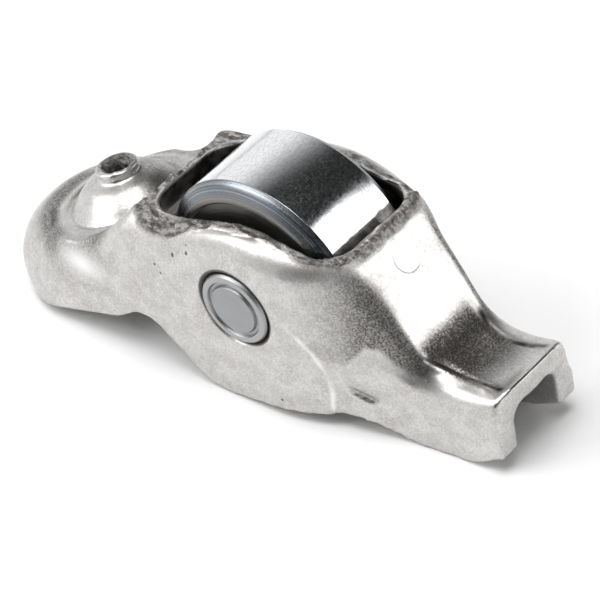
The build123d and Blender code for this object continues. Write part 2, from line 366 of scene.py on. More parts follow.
@dataclass(frozen=True)
class TumbledSteel(Finish):
    """Sheet steel, tumbled bright, with fine mottling, pits, marks, torn rims, painted shade and painted
    highlights.
    """

    name: str = "pressed_steel"
    bright: Colour = grey(0.67, 0.018)
    dull: Colour = grey(0.39, 0.03)
    # Dark of the real pits, marks and scale, and of the painted shade and the painted shadow round the axle's
    # end.
    soot_and_shade: Colour = grey(0.05, 0.12)
    scale: Colour = (0.13, 0.12, 0.112, 1.0)
    # Near white of the painted highlights.
    highlight_white: Colour = grey(0.9, 0.01)
    rust: Colour = (0.34, 0.29, 0.25, 1.0)
    rough_low: float = 0.25
    rough_high: float = 0.42
    grain_per_mm: float = 5.5
    grain_depth: float = 0.016
    spread: Pair = (0.34, 0.66)
    fleck_spread: Pair = (0.6, 0.4)
    chip_depth: float = 0.5
    swirl_per_mm: float = 0.8
    pit_per_mm: float = 0.62
    pit_share: float = 0.42
    pit_radius: float = 0.085
    wall: float = 6.6
    pits: tuple[Point, ...] = (
        (-4.07, 3.42, 0.2),
        (-5.46, 2.76, 0.22),
        (-6.82, 0.69, 0.14),
        (-7.33, 1.29, 0.14),
        (3.2, -7.3, 0.16),
        (12.3, -4.1, 0.16),
        (15.1, -5.2, 0.2),
        (15.9, -5.3, 0.14),
    )
    # Place and size of the painted shadow in the gap round the axle's end.
    gap_centre: Pair = (0.08, 0.14)
    gap_radius: float = 3.36
    gap_soft: float = 0.07
    ring_mark: Point = (10.6, 0.3, 1.2)
    slope_stretch: float = 1.72
    scratches: tuple[tuple[float, float, float, float], ...] = (
        (15.35, 2.1, 15.85, 2.55),
        (15.6, 2.75, 15.8, 2.1),
        (13.9, -1.4, 14.7, -0.5),
    )

    def lay(self, bench: Bench) -> None:
        """Lays grain, clouds, pits, marks, the torn rim, painted shade and painted highlights over each
        other.

        Args:
            bench: The material's empty tree.
        """
        point, x, y, z = bench.place()
        grain = bench.noise(point, self.grain_per_mm, 3.0, 0.65)
        fine = bench.noise(point, self.grain_per_mm * 2.6, 2.0, 0.6)
        clouds = bench.noise(point, self.swirl_per_mm, 4.0, 0.6)
        chips = bench.noise(bench.stretch(point, (0.8, 1.5, 1.5)), 1.5, 4.0, 0.68)
        tint = bench.noise(point, 0.45, 2.0, 0.5).step(0.55, 0.75) * 0.3
        # The first mask is the real sheared rim; the next two hold painted shade and the last painted
        # highlights.
        torn, grime, shade, bare = (self._mask(bench, name) for name in ("torn", "grime", "shade", "bare"))
        marks = self._pits(bench, point).most(self._wall_pits(x, y, z)).most(self._marks(x, y, z))
        gap = self._gap_shadow(x, y, z)

        mottle = grain.step(*self.spread) * 0.4 + fine.step(*self.spread) * 0.35
        mottle = mottle + clouds.step(0.36, 0.64) * 0.25
        colour = bench.blend(mottle, self.dull, self.bright)
        colour = bench.blend(tint * mottle.step(0.7, 0.3), colour, self.rust)
        colour = bench.blend(torn * (0.3 + chips.step(0.6, 0.46) * 0.65), colour, self.scale)
        flecks = grain.step(*self.fleck_spread) * 0.5 + fine.step(*self.fleck_spread) * 0.5
        # Darkening: real dark scale on the torn rim, with painted shade on the flanks, valley, nose, window,
        # oil hole and creases.
        dirt_and_shade = torn * chips.step(0.45, 0.37) * 0.8
        dirt_and_shade = dirt_and_shade.most(shade * (0.42 + flecks * 0.58)).most(grime * (0.6 + clouds.step(0.35, 0.65) * 0.4))
        colour = bench.blend(dirt_and_shade.least(0.97), colour, self.soot_and_shade)
        # Painted highlights along the window's edge, on the wall's crease and on the nose.
        colour = bench.blend(bare * (1 - gap), colour, self.highlight_white)
        # Real pits and marks, and the painted shadow in the gap round the axle's end.
        colour = bench.blend((marks * 0.85).most(gap), colour, self.soot_and_shade)

        span = self.rough_high - self.rough_low
        rough = self.rough_low + (1 - mottle) * span + torn * 0.14 + shade * 0.08 + marks * 0.2
        height = grain * 0.5 + fine * 0.3 + clouds * 0.5 - marks * 1.5
        normal = bench.bump(chips * torn, self.chip_depth, bench.bump(height, self.grain_depth))
        bench.surface(colour, rough, (1 - marks * 0.6) * (1 - gap), normal)

    def _gap_shadow(self, x: Wire, y: Wire, z: Wire) -> Wire:
        """Painted shadow in the gap round the end of the axle.

        Args:
            x: Place along the arm.
            y: Place across it.
            z: Height.

        Returns:
            Wire that is 1 in the gap.
        """
        middle_x, middle_z = self.gap_centre
        out = ((x - middle_x) ** 2 + (z - middle_z) ** 2).root()
        within = out.step(self.gap_radius + self.gap_soft, self.gap_radius - self.gap_soft)
        return within * y.size().step(self.wall + 0.1, self.wall + 0.3)

    @staticmethod
    def _mask(bench: Bench, name: str) -> Wire:
        """Reads one of the masks stored on the shell."""
        return bench.wire("ShaderNodeAttribute", {"attribute_name": name}, {}, "Fac")

    def _pits(self, bench: Bench, point: Wire) -> Wire:
        """Sparse round pits.

        Args:
            bench: The material's tree.
            point: The surface point.

        Returns:
            Wire that is 1 inside a pit.
        """
        cell = bench.cells(point, self.pit_per_mm)
        pick = bench.node("ShaderNodeSeparateColor", {}, {0: Wire(bench, cell.outputs["Color"])})
        chosen = Wire(bench, pick.outputs[0]).step(self.pit_share, self.pit_share - 0.02)
        reach = Wire(bench, pick.outputs[1]) * 0.8 + 0.35
        away = Wire(bench, cell.outputs["Distance"]) / (reach * (self.pit_radius * self.pit_per_mm))
        return away.step(1.15, 0.6) * chosen

    def _wall_pits(self, x: Wire, y: Wire, z: Wire) -> Wire:
        """The larger pits of the near side wall.

        Args:
            x: Place along the arm.
            y: Place across it.
            z: Height.

        Returns:
            Wire that is 1 inside a pit.
        """
        total: Any = 0.0
        for along, high, radius in self.pits:
            away = ((x - along) ** 2 + (z - high) ** 2).root()
            total = away.step(radius, radius * 0.4) + total
        return total * (0 - y).step(self.wall - 0.2, self.wall)

    def _marks(self, x: Wire, y: Wire, z: Wire) -> Wire:
        """A pressed ring on the slope and a few scratches in the valley.

        Args:
            x: Place along the arm.
            y: Place across it.
            z: Height.

        Returns:
            Wire that is 1 on a mark.
        """
        along, across, radius = self.ring_mark
        slope = (x - along) * self.slope_stretch
        away = (slope * slope + (y - across) ** 2).root()
        ring = (away - radius).size().step(0.07, 0.02) * (slope - (y - across)).step(-0.4, 1.4) * 0.45
        total: Any = ring * z.step(0.5, 1.0)
        for start_x, start_y, end_x, end_y in self.scratches:
            run_x, run_y = end_x - start_x, end_y - start_y
            ahead = ((x - start_x) * run_x + (y - start_y) * run_y) * (1 / (run_x**2 + run_y**2))
            ahead = ahead.most(0.0).least(1.0)
            off = ((x - start_x - ahead * run_x) ** 2 + (y - start_y - ahead * run_y) ** 2).root()
            total = off.step(0.06, 0.015) * z.step(-4.6, -4.2) * 0.7 + total
        return total


@dataclass(frozen=True)
class GroundSteel(Finish):
    """Roller steel: ground running face, turned shoulders painted darker as shade, side faces painted brown
    as shade and wall reflection.
    """

    name: str = "roller_steel"
    face: Colour = grey(0.86, -0.012)
    # The shoulder's darker bluer grey is painted shade; the side's dark brown is painted shade with a painted
    # reflection of the arm's wall.
    shoulder: Colour = grey(0.30, -0.08)
    side: Colour = grey(0.25, 0.05)
    hatched: Colour = grey(0.36, -0.09)
    groove: Colour = grey(0.05, -0.05)
    face_half: float = 3.3
    face_radius: float = 8.4
    side_half: float = 4.12
    side_radius: float = 7.7
    rings_per_mm: float = 7.5
    line_depth: float = 0.004

    def lay(self, bench: Bench) -> None:
        """Lays the three zones by their place on the ring.

        Args:
            bench: The material's empty tree.
        """
        point, x, y, z = bench.place()
        out = (x * x + z * z).root()
        across = y.size()
        on_face = across.step(self.face_half + 0.03, self.face_half - 0.03)
        on_face = on_face * out.step(self.face_radius - 0.1, self.face_radius + 0.1)
        on_side = across.step(self.side_half - 0.3, self.side_half - 0.05)
        on_side = on_side * out.step(self.side_radius + 0.05, self.side_radius - 0.1)
        lines = bench.noise(bench.stretch(point, (0.12, 9.0, 0.12)), 1.0, 3.0, 0.6)
        turning = {"W": out * self.rings_per_mm, "Scale": 1.0, "Detail": 1.0}
        rings = bench.wire("ShaderNodeTexNoise", {"noise_dimensions": "1D"}, turning, "Fac")
        speck = bench.noise(point, 5.0, 3.0, 0.6)
        clouds = bench.noise(point, 0.8, 3.0, 0.5)
        # Painted shade on the shoulders, painted shade and reflection on the side faces.
        colour = bench.blend(on_face, self.shoulder, self.face)
        colour = bench.blend(on_side, colour, self.side)
        hatch = bench.noise(bench.stretch(point, (2.2, 0.9, 2.2)), 3.4, 4.0, 0.75)
        colour = bench.blend(on_face * hatch.step(0.38, 0.66) * 0.45, colour, self.hatched)
        turned = (1 - on_face) * (1 - on_side)
        colour = bench.blend(rings.step(0.42, 0.58) * (turned * 0.6 + 0.2 * on_side), colour, self.groove)
        rough = 0.085 + (1 - on_face) * 0.15 + on_side * 0.1 + speck.step(0.35, 0.65) * 0.07 + clouds * 0.05
        height = lines * on_face * 0.6 + rings * (turned * 4.0 + on_side * 1.5) + speck * 0.4
        bench.surface(colour, rough, 1.0, bench.bump(height, self.line_depth))


@dataclass(frozen=True)
class PinSteel(Finish):
    """Axle ends: flat ground steel round a punched ring."""

    name: str = "axle_steel"
    face: Colour = grey(0.31, -0.02)
    rim: Colour = grey(0.38, -0.01)
    cloud: Colour = grey(0.40)
    ring_radius: float = 2.2

    def lay(self, bench: Bench) -> None:
        """Lays a satin face with a brighter outer ring.

        Args:
            bench: The material's empty tree.
        """
        point, x, _, z = bench.place()
        out = (x * x + z * z).root()
        clouds = bench.noise(point, 1.1, 4.0, 0.6)
        speck = bench.noise(point, 7.0, 3.0, 0.6)
        wipe = bench.noise(bench.stretch(point, (1.2, 1.0, 9.0)), 1.0, 3.0, 0.6)
        colour = bench.blend(out.step(self.ring_radius, self.ring_radius + 0.3), self.face, self.rim)
        colour = bench.blend(clouds.step(0.35, 0.7) * 0.3, colour, self.cloud)
        rough = 0.30 + clouds * 0.12 + speck.step(0.35, 0.65) * 0.06
        bench.surface(colour, rough, 1.0, bench.bump(speck * 0.5 + clouds + wipe * 0.4, 0.012))


@dataclass(frozen=True)
class NeedleSteel(Finish):
    """Polished needles with a trace of oil film."""

    name: str = "needle_steel"
    body: Colour = grey(0.66)
    oil: Colour = grey(0.45, 0.08)

    def lay(self, bench: Bench) -> None:
        """Lays a polish with fine lines round each needle.

        Args:
            bench: The material's empty tree.
        """
        point, _, _, _ = bench.place()
        lines = bench.noise(bench.stretch(point, (1.0, 12.0, 1.0)), 1.0, 2.0, 0.5)
        film = bench.noise(point, 1.5, 3.0, 0.5)
        colour = bench.blend(film.step(0.3, 0.7) * 0.4, self.body, self.oil)
        bench.surface(colour, 0.14 + film * 0.12, 1.0, bench.bump(lines, 0.003))


@dataclass(frozen=True)
class PaleFloor(Finish):
    """Matt white studio floor with a hardly visible tooth."""

    name: str = "pale_floor"
    tone: Colour = grey(0.90)
    cloud: Colour = grey(0.8865)

    def lay(self, bench: Bench) -> None:
        """Lays a matt white with faint clouds.

        Args:
            bench: The material's empty tree.
        """
        point, _, _, _ = bench.place()
        clouds = bench.noise(point, 0.01, 2.0, 0.5)
        colour = bench.blend(clouds, self.tone, self.cloud)
        bench.surface(colour, 0.75, 0.0, bench.bump(bench.noise(point, 1.0), 0.01))


# ------------------------------------------------------------------ mesh tools


def smooth_noise(points: np.ndarray, per_mm: float, seed: int) -> np.ndarray:
    """Smooth value noise on a lattice.

    Args:
        points: Places in millimetres, one row each.
        per_mm: Lattice cells to the millimetre.
        seed: Chooses the lattice values.

    Returns:
        Values between -1 and 1, one for each place.
    """
    size = 64
    lattice = np.random.default_rng(seed).uniform(-1, 1, (size, size, size))
    spot = points * per_mm
    cell = np.floor(spot).astype(int)
    part = spot - cell
    part = part * part * (3 - 2 * part)
    total = np.zeros(len(points))
    for corner in range(8):
        step = np.array([corner & 1, corner >> 1 & 1, corner >> 2 & 1])
        weight = np.prod(np.where(step, part, 1 - part), axis=1)
        index = (cell + step) % size
        total += weight * lattice[index[:, 0], index[:, 1], index[:, 2]]
    return total


def layered_noise(points: np.ndarray, layers: Sequence[tuple[float, float, int]]) -> np.ndarray:
    """Adds up layers of smooth noise.

    Args:
        points: Places in millimetres, one row each.
        layers: Cells to the millimetre, strength and seed of each layer.

    Returns:
        The sum, one value for each place.
    """
    return sum(strength * smooth_noise(points, per_mm, seed) for per_mm, strength, seed in layers)


def rise(value: np.ndarray, low: float, high: float) -> np.ndarray:
    """Smooth step of an array from 0 at low to 1 at high.

    Args:
        value: The array.
        low: Value that gives 0.
        high: Value that gives 1; it may lie below low.

    Returns:
        The stepped array.
    """
    share = np.clip((value - low) / (high - low), 0, 1)
    return share * share * (3 - 2 * share)


def within(value: np.ndarray, ends: Sequence[Pair]) -> np.ndarray:
    """Share of a stretch with soft ends.

    Args:
        value: The array.
        ends: For each end, the value that gives 0 and the one that gives 1.

    Returns:
        1 inside the stretch and 0 outside it.
    """
    total = np.ones(len(value))
    for end in ends:
        total = total * rise(value, *end)
    return total


def hill(value: np.ndarray, middle: float, width: float) -> np.ndarray:
    """Rounded hill of height 1 over an array.

    Args:
        value: The array.
        middle: Value under the top of the hill.
        width: Distance at which the hill has fallen to 0.37.

    Returns:
        The height at each value.
    """
    return np.exp(-(((value - middle) / width) ** 2))


def get_points(mesh: bpy.types.Mesh) -> np.ndarray:
    """Reads a mesh's points.

    Args:
        mesh: The mesh.

    Returns:
        One row for each vertex.
    """
    flat = np.empty(len(mesh.vertices) * 3)
    mesh.vertices.foreach_get("co", flat)
    return flat.reshape(-1, 3)


def get_normals(mesh: bpy.types.Mesh) -> np.ndarray:
    """Reads a mesh's vertex normals.

    Args:
        mesh: The mesh.

    Returns:
        One row for each vertex.
    """
    flat = np.empty(len(mesh.vertices) * 3)
    mesh.vertex_normals.foreach_get("vector", flat)
    return flat.reshape(-1, 3)


def get_edges(mesh: bpy.types.Mesh) -> np.ndarray:
    """Reads the two vertex numbers of each edge.

    Args:
        mesh: The mesh.

    Returns:
        One row for each edge.
    """
    flat = np.empty(len(mesh.edges) * 2, dtype=np.int32)
    mesh.edges.foreach_get("vertices", flat)
    return flat.reshape(-1, 2)


def set_points(mesh: bpy.types.Mesh, points: np.ndarray) -> None:
    """Writes a mesh's points.

    Args:
        mesh: The mesh.
        points: One row for each vertex.
    """
    mesh.vertices.foreach_set("co", points.ravel())
    mesh.update()


def relax(
    points: np.ndarray,
    edges: np.ndarray,
    weight: np.ndarray,
    rounds: int,
    passes: Sequence[float] = (0.55, -0.5),
) -> np.ndarray:
    """Moves points towards their neighbours' middle.

    Args:
        points: The points.
        edges: Vertex numbers of each edge.
        weight: How far each point may move, from 0 to 1.
        rounds: How often the passes are made.
        passes: Strength of each pass; an outward one after an inward one keeps the size.

    Returns:
        The relaxed points.
    """
    count = np.bincount(edges.ravel(), minlength=len(points))[:, None]
    for _ in range(rounds):
        for strength in passes:
            total = np.zeros_like(points)
            for axis in range(3):
                total[:, axis] = np.bincount(edges[:, 0], points[edges[:, 1], axis], len(points))
                total[:, axis] += np.bincount(edges[:, 1], points[edges[:, 0], axis], len(points))
            points = points + (total / count - points) * (strength * weight)[:, None]
    return points


def along_line(across: np.ndarray, up: np.ndarray, line: Sequence[Pair]) -> tuple[np.ndarray, np.ndarray]:
    """Measures points of a plane against a bent line.

    Args:
        across: First coordinate of each point.
        up: Second coordinate of each point.
        line: Corners of the line.

    Returns:
        Distance, positive to the left of the line, and the share of the line that lies behind.
    """
    best = np.full(len(across), 1e9)
    signed, share = np.zeros(len(across)), np.zeros(len(across))
    for index, (start, end) in enumerate(zip(line, line[1:])):
        run = np.subtract(end, start)
        part = ((across - start[0]) * run[0] + (up - start[1]) * run[1]) / (run @ run)
        part = np.clip(part, 0, 1)
        off_x, off_y = across - start[0] - part * run[0], up - start[1] - part * run[1]
        away = np.hypot(off_x, off_y)
        nearer = away < best
        side = np.where(run[0] * (up - start[1]) - run[1] * (across - start[0]) > 0, 1.0, -1.0)
        best = np.where(nearer, away, best)
        signed = np.where(nearer, away * side, signed)
        share = np.where(nearer, (index + part) / (len(line) - 1), share)
    return signed, share


@dataclass(frozen=True)
class Zone:
    """A part of the arm between soft ends, the same on both sides of its middle plane."""

    along: tuple[Pair, ...] = ()
    across: tuple[Pair, ...] = ()
    up: tuple[Pair, ...] = ()

    def share(self, points: np.ndarray) -> np.ndarray:
        """Measures how far points lie in the zone.

        Args:
            points: The points.

        Returns:
            1 inside the zone and 0 off it.
        """
        x, y, z = points.T
        return within(x, self.along) * within(np.abs(y), self.across) * within(z, self.up)


@dataclass(frozen=True)
class Collar:
    """A ring round the dome's axis between soft ends."""

    out: tuple[Pair, ...] = ()
    up: tuple[Pair, ...] = ()

    def share(self, out: np.ndarray, up: np.ndarray) -> np.ndarray:
        """Measures how far points lie in the ring.

        Args:
            out: Distance of each point from the axis.
            up: Height of each point above the dome's foot.

        Returns:
            1 inside the ring and 0 off it.
        """
        return within(out, self.out) * within(up, self.up)


@dataclass(frozen=True)
class Crease:
    """A mark that the press left along a bent line.

    Hills hold the distance from the line, the width and the height, and
    terraces hold the two soft ends across the line and the height.
    """

    line: tuple[Pair, ...]
    ends: tuple[Pair, ...]
    hills: tuple[Point, ...] = ()
    terraces: tuple[tuple[Pair, Pair, float], ...] = ()

    def move(self, across: np.ndarray, up: np.ndarray) -> np.ndarray:
        """Finds how far the mark lifts the surface.

        Args:
            across: First coordinate of each point, as in the line.
            up: Second coordinate of each point.

        Returns:
            Move along the normal, in millimetres.
        """
        off, share = along_line(across, up, self.line)
        total = np.zeros(len(off))
        for middle, width, height in self.hills:
            total = total + height * hill(off, middle, width)
        for start, end, height in self.terraces:
            total = total + height * rise(off, *start) * rise(off, *end)
        return total * within(share, self.ends)


def lathe(name: str, outline: Sequence[Pair], steps: int) -> bpy.types.Object:
    """Turns an outline round the Y axis.

    Args:
        name: Name of the new object.
        outline: Radius and place along Y of each point, in millimetres.
        steps: Points round the axis.

    Returns:
        The new object, in metres.
    """
    build = bmesh.new()
    closed = outline[0][0] > 0
    rings = []
    for radius, along in outline:
        if radius == 0:
            rings.append([build.verts.new((0, along * MM, 0))])
            continue
        ring = []
        for step in range(steps):
            angle = math.tau * step / steps
            spot = Vector((radius * math.cos(angle), along, radius * math.sin(angle)))
            ring.append(build.verts.new(spot * MM))
        rings.append(ring)
    pairs = list(zip(rings, rings[1:]))
    if closed:
        pairs.append((rings[-1], rings[0]))
    for first, second in pairs:
        for step in range(steps):
            after = (step + 1) % steps
            if len(first) == 1:
                build.faces.new((first[0], second[step], second[after]))
            elif len(second) == 1:
                build.faces.new((first[step], second[0], first[after]))
            else:
                build.faces.new((first[step], second[step], second[after], first[after]))
    bmesh.ops.recalc_face_normals(build, faces=build.faces)
    mesh = bpy.data.meshes.new(name)
    build.to_mesh(mesh)
    build.free()
    mesh.shade_smooth()
    made = bpy.data.objects.new(name, mesh)
    bpy.context.scene.collection.objects.link(made)
    return made


def rounded(outline: Sequence[Point], steps: int = 5) -> list[Pair]:
    """Rounds the corners of an outline.

    Args:
        outline: Radius, place along the axis and corner radius of each point.
        steps: Points on each rounded corner.

    Returns:
        The outline with its corners as short arcs.
    """
    spots = [Vector(point[:2]) for point in outline]
    closed = outline[0][0] > 0
    result: list[Pair] = []
    for index, (spot, point) in enumerate(zip(spots, outline)):
        at_end = not closed and index in (0, len(spots) - 1)
        corner = point[2]
        if corner == 0 or at_end:
            result.append((spot.x, spot.y))
            continue
        back = (spots[index - 1] - spot).normalized()
        ahead = (spots[(index + 1) % len(spots)] - spot).normalized()
        half = back.angle(ahead) / 2
        if half > math.pi / 2 - 0.02:
            result.append((spot.x, spot.y))
            continue
        reach = corner / math.tan(half)
        centre = spot + (back + ahead).normalized() * (corner / math.sin(half))
        start, end = spot + back * reach - centre, spot + ahead * reach - centre
        turn = start.angle_signed(end)
        for step in range(steps + 1):
            arm = start.copy()
            arm.rotate(Matrix.Rotation(-turn * step / steps, 2))
            result.append((centre.x + arm.x, centre.y + arm.y))
    return result


# ------------------------------------------------------------------ pieces


@dataclass
class Piece:
    """A new piece that stands in for one solid of the frame."""

    node: str = ""
    body: str = ""
    slot: str = ""
    finish: Finish = field(default_factory=Finish)

    def seat(self, made: bpy.types.Object) -> None:
        """Ties the piece to its body and hides the solid that it replaces.

        Args:
            made: The new piece.
        """
        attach(made, self.body)
        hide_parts(self.node)

    def dress(self, made: bpy.types.Object) -> None:
        """Gives the piece its finish.

        Args:
            made: The new piece.
        """
        made.data.materials.clear()
        made.data.materials.append(self.finish.material())


@dataclass
class Pressing(Piece):
    """The stamped arm: the solid's form, softened, creased and roughened as tumbled steel.

    A soft end is a pair: the place that gives a share of 0, then the one that gives 1.
    """

    node: str = "arm_body"
    body: str = "arm"
    slot: str = "pressed_steel"
    finish: Finish = field(default_factory=TumbledSteel)
    solids: dict[str, bpy.types.Object] = field(default_factory=dict)
    voxel: float = 0.19
    soft_rounds: int = 3
    crest_rounds: int = 80
    valley_rounds: int = 360
    lip_rounds: int = 34
    cone_rounds: int = 22
    shoulder_rounds: int = 60
    wave_depth: float = 0.035
    wave_layers: tuple[tuple[float, float, int], ...] = ((0.22, 1.0, 1), (0.6, 0.5, 2))
    tear_depth: float = 0.2
    tear_layers: tuple[tuple[float, float, int], ...] = ((0.8, 1.0, 3), (2.0, 0.8, 4))
    tear_level: float = -0.25
    near_wall: Pair = (3.6, 4.4)
    web_top: Pair = (-4.4, -3.9)

    # The window and its sheared rim.
    window_middle: float = -0.65
    window_half: Pair = (9.15, 4.7)
    window_corner: float = 2.6
    rim: tuple[Pair, ...] = (
        (-11.5, 3.96), (-7.97, 4.15), (-5.96, 4.44), (-3.03, 5.35), (1.55, 6.15), (5.76, 5.7), (9.26, 6.15),
    )
    torn_reach: float = 0.85
    torn_more: float = 0.9
    torn_corners: tuple[Pair, Pair] = ((-3.5, -6.5), (7.4, 9.2))
    ragged_layers: tuple[tuple[float, float, int], ...] = ((0.5, 0.3, 7), (1.4, 0.18, 8))

    # The dome on the nose, measured from its axis and from its foot.
    dome_foot: Point = (-16.7, 0.0, -1.05)
    dome_lean: float = 13.0
    foot_radius: float = 4.55
    neck_radius: float = 2.3
    neck_width: float = 0.55
    neck_fill: float = 0.4
    neck: Collar = Collar(out=((1.8, 1.95),), up=((0.7, 1.3),))
    cone: Collar = Collar(out=((1.8, 2.1), (3.9, 3.2)), up=((0.4, 1.2),))
    countersink: Collar = Collar(out=((0.7, 0.9), (1.45, 1.3)), up=((1.2, 1.8),))
    oil_hole: Collar = Collar(out=((1.5, 1.3),), up=((0.0, 0.4),))
    foot: Collar = Collar(up=((-1.6, -0.9), (1.6, 0.9)))
    foot_hills: tuple[Point, ...] = ((0.0, 0.2, -0.13), (0.5, 0.25, 0.1))
    brim: Point = (1.75, 0.3, 0.12)
    # Rings of painted shade: the shelf beyond the dome's foot and the dome's inner side.
    shelf: Collar = Collar(out=((5.3, 5.9), (8.4, 6.6)))
    inner_side: Collar = Collar(out=((5.6, 4.4),), up=((-0.4, 0.3),))
    # Middle and half size of the painted highlight on the nose.
    gleam_middle: Pair = (-15.6, -2.2)
    gleam_half: Pair = (2.1, 0.95)

    # Parts that are softened, or darkened with painted shade.
    slope: Zone = Zone(along=((7.6, 9.4), (15.6, 13.6)), up=((-3.4, -1.8), (6.1, 4.8)))
    crest: Pair = (2.0, 3.3)
    far_crest: float = 0.22
    valley: Zone = Zone(
        along=((11.6, 13.0), (20.4, 18.6)), across=((3.3, 2.3),), up=((-4.4, -3.6), (2.6, 1.0))
    )
    lip: Zone = Zone(along=((-12.5, -10.5), (9.4, 8.0)), across=((4.9, 5.7),))
    lip_reach: Pair = (1.5, 0.9)
    shoulder: Zone = Zone(along=((13.5, 15.5),), across=((2.5, 3.2),), up=((-5.6, -4.2),))
    # Zones of painted shade on the flanks and in the valley.
    shaded_flank: Zone = Zone(along=((15.6, 14.4),), across=((2.6, 3.4),), up=((5.9, 4.9),))
    shaded_valley: Zone = Zone(along=((13.3, 14.1), (20.3, 16.2)), up=((-4.4, -3.8), (0.6, -0.4)))
    far_slope: Zone = Zone(along=((8.2, 9.4), (13.4, 11.6)), up=((-2.0, 0.0),))
    nose_top: Zone = Zone(along=((-10.6, -13.0),), up=((-4.2, -2.6),))
    end_edge: Zone = Zone(along=((20.0, 20.5),), across=((3.0, 2.6),))
    bay: Zone = Zone(along=((-12.6, -11.6), (12.6, 11.6)))

    # Bent lines in the side view, or from above for the valve pad.
    flank_line: tuple[Pair, ...] = (
        (6.6, -2.6), (8.6, -3.0), (9.4, -2.0), (9.8, -1.5), (10.35, -0.85), (11.4, -0.85), (12.46, -1.9),
        (13.58, -2.6), (14.62, -2.7), (16.0, -3.0),
    )
    wall_crease: Crease = Crease(
        line=((3.9, 0.7), (5.04, 0.0), (6.42, -1.8), (7.3, -3.8), (7.45, -5.4), (7.3, -7.1)),
        ends=((0.0, 0.3),),
        hills=((0.0, 0.2, 0.13),),
        terraces=(((0.1, 0.9), (3.4, 1.0), -0.1),),
    )
    wall_fold: Crease = Crease(
        line=((8.3, -5.15), (9.3, -5.2), (10.2, -5.5), (11.0, -5.85)),
        ends=((0.0, 0.2), (1.0, 0.75)),
        hills=((0.2, 0.25, -0.16),),
        terraces=(((-0.8, -0.1), (0.05, -0.05), 0.14),),
    )
    pad_crease: Crease = Crease(
        line=(
            (13.9, -3.1), (14.7, -2.8), (15.5, -2.5), (16.6, -2.35), (17.75, -2.3), (19.0, -2.4),
            (20.4, -2.7),
        ),
        ends=((0.0, 0.1), (1.0, 0.85)),
        hills=((-0.45, 0.3, 0.12), (0.0, 0.2, -0.16)),
    )

    def build(self) -> bpy.types.Object:
        """Copies the solid, remeshes it finely and works its surface.

        Returns:
            The new piece.
        """
        mesh = self.solids[self.node].data.copy()
        mesh.name = "arm_shell"
        made = bpy.data.objects.new("arm_shell", mesh)
        bpy.context.scene.collection.objects.link(made)
        mesh.transform(Matrix.Scale(1 / MM, 4))
        self._weld(mesh)
        remesh = made.modifiers.new("skin", "REMESH")
        remesh.mode = "VOXEL"
        remesh.voxel_size = self.voxel
        graph = bpy.context.evaluated_depsgraph_get()
        skin = bpy.data.meshes.new_from_object(made.evaluated_get(graph))
        made.modifiers.clear()
        made.data = skin
        self._work(skin)
        skin.transform(Matrix.Scale(MM, 4))
        skin.shade_smooth()
        self.seat(made)
        return made

    @staticmethod
    def _weld(mesh: bpy.types.Mesh) -> None:
        """Joins the points that lie on each other.

        Args:
            mesh: The mesh to weld.
        """
        build = bmesh.new()
        build.from_mesh(mesh)
        bmesh.ops.remove_doubles(build, verts=build.verts, dist=1e-4)
        build.to_mesh(mesh)
        build.free()

    def _work(self, mesh: bpy.types.Mesh) -> None:
        """Softens edges, presses the creases, tears the rim and writes the masks, among them those of painted
        shade and painted highlights.

        Args:
            mesh: The remeshed shell, in millimetres.
        """
        points, edges = get_points(mesh), get_edges(mesh)
        low, high = points.min(0), points.max(0)
        points = self._soften(points, edges)
        set_points(mesh, points)
        normals = get_normals(mesh)
        torn = self._torn(points, normals)
        wave = self.wave_depth * layered_noise(points, self.wave_layers)
        tear = self.tear_depth * (layered_noise(points, self.tear_layers) + self.tear_level)
        move = wave * (1 - torn) + tear * torn + self._creases(points)
        points = np.clip(points + normals * move[:, None], low, high)
        set_points(mesh, points)
        self._write(mesh, "torn", torn)
        self._write(mesh, "grime", self._crevice_shade(points, normals))
        self._write(mesh, "shade", self._shade(points, normals))
        self._write(mesh, "bare", self._painted_highlight(points))

    def _soften(self, points: np.ndarray, edges: np.ndarray) -> np.ndarray:
        """Rounds all edges a little, and the drawn parts of the sheet much more.

        Args:
            points: The shell's points.
            edges: Vertex numbers of each edge.

        Returns:
            The softened points.
        """
        inward = (0.5,)
        points = relax(points, edges, np.ones(len(points)), self.soft_rounds)
        points = relax(points, edges, self._crests(points), self.crest_rounds, inward)
        points = relax(points, edges, self._lip(points), self.lip_rounds, inward)
        points = relax(points, edges, self.valley.share(points), self.valley_rounds, inward)
        points = self._fill_neck(points)
        points = relax(points, edges, self.cone.share(*self._from_dome(points)[:2]), self.cone_rounds, inward)
        return relax(points, edges, self.shoulder.share(points), self.shoulder_rounds, inward)

    def _rim_height(self, x: np.ndarray) -> np.ndarray:
        """Height of the window's rim at each place along the arm."""
        places, heights = zip(*self.rim)
        return np.interp(x, places, heights)

    def _window(self, x: np.ndarray, y: np.ndarray) -> np.ndarray:
        """Distance outside the window's outline, negative inside.

        Args:
            x: Places along the arm.
            y: Places across it.

        Returns:
            The distance of each point.
        """
        over_x = np.abs(x - self.window_middle) - self.window_half[0] + self.window_corner
        over_y = np.abs(y) - self.window_half[1] + self.window_corner
        outside = np.hypot(np.maximum(over_x, 0), np.maximum(over_y, 0))
        return outside + np.minimum(np.maximum(over_x, over_y), 0) - self.window_corner

    def _crests(self, points: np.ndarray) -> np.ndarray:
        """Weight of the crests between the side walls and the slope.

        Args:
            points: The shell's points.

        Returns:
            How far each point may move.
        """
        y = points[:, 1]
        return self.slope.share(points) * (rise(-y, *self.crest) + self.far_crest * rise(y, *self.crest))

    def _lip(self, points: np.ndarray) -> np.ndarray:
        """Weight of the outer edge along the rim.

        Args:
            points: The shell's points.

        Returns:
            How far each point may move.
        """
        x, _, z = points.T
        return self.lip.share(points) * rise(np.abs(z - self._rim_height(x)), *self.lip_reach)

